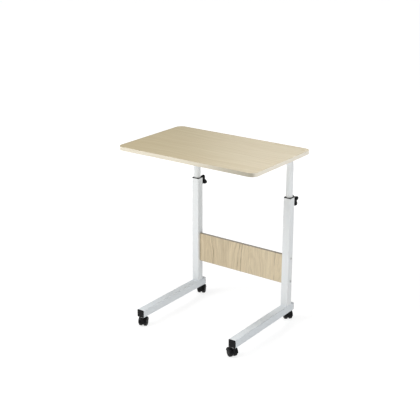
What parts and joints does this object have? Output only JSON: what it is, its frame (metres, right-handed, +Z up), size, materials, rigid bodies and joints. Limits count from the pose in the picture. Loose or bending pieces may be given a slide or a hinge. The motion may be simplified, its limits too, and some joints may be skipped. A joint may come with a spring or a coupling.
{
  "type": "overbed table",
  "caption": "Rolling overbed side table: a wood-look top on two clamped telescopic columns, side feet with swivel casters and a low rear panel.",
  "frame": {"origin": "on the floor, in the middle of the box that the table fills", "axes": "+X along the tabletop to the right as seen from the front, +Y to the back where the columns stand, +Z up"},
  "size_m": [0.63, 0.4617, 0.75],
  "materials": {
    "board_core": "raw chipboard",
    "maple_laminate": "satin melamine, pale maple grain",
    "backing": "plain cream melamine",
    "edge_band": "satin cream edging",
    "oak_panel": "satin melamine, light oak grain",
    "panel_edge": "satin brown edging",
    "white_steel": "semi-gloss white powder coat",
    "zinc_steel": "bright zinc plate",
    "black_plastic": "satin moulded black plastic",
    "wheel_nylon": "semi-gloss black nylon"
  },
  "bodies": {
    "base": {"column_left": "white_steel", "column_right": "white_steel", "foot_left": "white_steel", "foot_right": "white_steel", "collar_left": "black_plastic", "collar_right": "black_plastic", "clamp_nut_left": "white_steel", "clamp_nut_right": "white_steel", "foot_cap_front_left": "black_plastic", "foot_cap_front_right": "black_plastic", "foot_cap_rear_left": "black_plastic", "foot_cap_rear_right": "black_plastic", "panel_board": "oak_panel", "panel_band_top": "panel_edge", "panel_band_bottom": "panel_edge", "panel_bolts_left": "zinc_steel", "panel_bolts_right": "zinc_steel", "panel_dowels": "zinc_steel", "caster_inserts": "zinc_steel", "caster_stem_front_left": "zinc_steel", "caster_stem_front_right": "zinc_steel", "caster_stem_rear_left": "zinc_steel", "caster_stem_rear_right": "zinc_steel"},
    "top": {"tabletop_board": "board_core", "tabletop_laminate": "maple_laminate", "tabletop_backing": "backing", "tabletop_edge_band": "edge_band", "board_inserts": "zinc_steel", "support_arm_left": "white_steel", "support_arm_right": "white_steel", "arm_bolts_left": "zinc_steel", "arm_bolts_right": "zinc_steel", "arm_plug_left": "black_plastic", "arm_plug_right": "black_plastic", "glide_left": "black_plastic", "glide_right": "black_plastic"},
    "clamp_left": {"knob_left": "black_plastic", "knob_stud_left": "zinc_steel"},
    "clamp_right": {"knob_right": "black_plastic", "knob_stud_right": "zinc_steel"},
    "caster_front_left": {"caster_hood_front_left": "black_plastic", "caster_axle_front_left": "zinc_steel"},
    "wheel_front_left_a": {"wheel_front_left_a": "wheel_nylon"},
    "wheel_front_left_b": {"wheel_front_left_b": "wheel_nylon"},
    "caster_front_right": {"caster_hood_front_right": "black_plastic", "caster_axle_front_right": "zinc_steel"},
    "wheel_front_right_a": {"wheel_front_right_a": "wheel_nylon"},
    "wheel_front_right_b": {"wheel_front_right_b": "wheel_nylon"},
    "caster_rear_left": {"caster_hood_rear_left": "black_plastic", "caster_axle_rear_left": "zinc_steel"},
    "wheel_rear_left_a": {"wheel_rear_left_a": "wheel_nylon"},
    "wheel_rear_left_b": {"wheel_rear_left_b": "wheel_nylon"},
    "caster_rear_right": {"caster_hood_rear_right": "black_plastic", "caster_axle_rear_right": "zinc_steel"},
    "wheel_rear_right_a": {"wheel_rear_right_a": "wheel_nylon"},
    "wheel_rear_right_b": {"wheel_rear_right_b": "wheel_nylon"}
  },
  "joints": [
    {"name": "height", "type": "slide", "parent": "base", "child": "top", "axis": [0, 0, 1], "range_m": [-0.11, 0.08]},
    {"name": "clamp_left_turn", "type": "hinge", "parent": "base", "child": "clamp_left", "pos_m": [-0.2237, 0.1904, 0.5215], "axis": [0, 1, 0], "range_deg": [0, 360]},
    {"name": "clamp_right_turn", "type": "hinge", "parent": "base", "child": "clamp_right", "pos_m": [0.2237, 0.1904, 0.5215], "axis": [0, 1, 0], "range_deg": [0, 360]},
    {"name": "swivel_front_left", "type": "hinge", "parent": "base", "child": "caster_front_left", "pos_m": [-0.2237, -0.2103, 0.04], "axis": [0, 0, 1], "continuous": true},
    {"name": "roll_front_left_a", "type": "hinge", "parent": "caster_front_left", "child": "wheel_front_left_a", "pos_m": [-0.22878, -0.19833, 0.018], "axis": [-0.9205, -0.3907, 0], "continuous": true},
    {"name": "roll_front_left_b", "type": "hinge", "parent": "caster_front_left", "child": "wheel_front_left_b", "pos_m": [-0.22878, -0.19833, 0.018], "axis": [-0.9205, -0.3907, 0], "continuous": true},
    {"name": "swivel_front_right", "type": "hinge", "parent": "base", "child": "caster_front_right", "pos_m": [0.2237, -0.2103, 0.04], "axis": [0, 0, 1], "continuous": true},
    {"name": "roll_front_right_a", "type": "hinge", "parent": "caster_front_right", "child": "wheel_front_right_a", "pos_m": [0.21244, -0.2038, 0.018], "axis": [-0.5, -0.866, 0], "continuous": true},
    {"name": "roll_front_right_b", "type": "hinge", "parent": "caster_front_right", "child": "wheel_front_right_b", "pos_m": [0.21244, -0.2038, 0.018], "axis": [-0.5, -0.866, 0], "continuous": true},
    {"name": "swivel_rear_left", "type": "hinge", "parent": "base", "child": "caster_rear_left", "pos_m": [-0.2237, 0.1927, 0.04], "axis": [0, 0, 1], "continuous": true},
    {"name": "roll_rear_left_a", "type": "hinge", "parent": "caster_rear_left", "child": "wheel_rear_left_a", "pos_m": [-0.22919, 0.20448, 0.018], "axis": [-0.9063, -0.4226, 0], "continuous": true},
    {"name": "roll_rear_left_b", "type": "hinge", "parent": "caster_rear_left", "child": "wheel_rear_left_b", "pos_m": [-0.22919, 0.20448, 0.018], "axis": [-0.9063, -0.4226, 0], "continuous": true},
    {"name": "swivel_rear_right", "type": "hinge", "parent": "base", "child": "caster_rear_right", "pos_m": [0.2237, 0.1927, 0.04], "axis": [0, 0, 1], "continuous": true},
    {"name": "roll_rear_right_a", "type": "hinge", "parent": "caster_rear_right", "child": "wheel_rear_right_a", "pos_m": [0.21404, 0.2014, 0.018], "axis": [-0.6691, -0.7431, 0], "continuous": true},
    {"name": "roll_rear_right_b", "type": "hinge", "parent": "caster_rear_right", "child": "wheel_rear_right_b", "pos_m": [0.21404, 0.2014, 0.018], "axis": [-0.6691, -0.7431, 0], "continuous": true}
  ]
}
